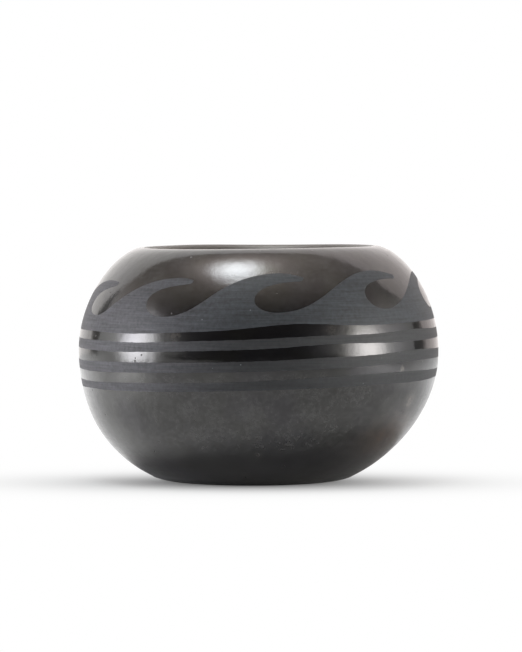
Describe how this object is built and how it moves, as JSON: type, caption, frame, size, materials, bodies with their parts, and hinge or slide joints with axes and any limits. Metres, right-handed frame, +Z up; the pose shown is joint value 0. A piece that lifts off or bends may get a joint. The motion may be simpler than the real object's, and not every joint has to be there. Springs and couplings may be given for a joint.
{
  "type": "blackware bowl",
  "caption": "Round hand-built blackware bowl with an in-curved rim, burnished outside with a matte painted frieze of curling waves above plain stripes; stands on a flat foot and holds things.",
  "frame": {"origin": "on the floor, under the centre of the bowl's widest circle", "axes": "+Z up through the mouth, -Y towards the side that the picture shows, +X to that side's right"},
  "size_m": [0.1273, 0.1272, 0.0825],
  "materials": {
    "clay": "smoke-blackened low-fired clay, smoothed and unpolished",
    "burnished_slip": "stone-burnished slip, glossy black",
    "matte_slip": "brushed-on unpolished slip, matte dark grey"
  },
  "bodies": {
    "root": {"base_pat": "clay", "wall_coil_1": "clay", "wall_coil_2": "clay", "wall_coil_3": "clay", "wall_coil_4": "clay", "wall_coil_5": "clay", "rim_coil": "clay", "polished_slip": "burnished_slip", "wave_frieze": "matte_slip", "matte_stripe_upper": "matte_slip", "matte_stripe_middle": "matte_slip", "matte_stripe_lower": "matte_slip"}
  },
  "joints": []
}
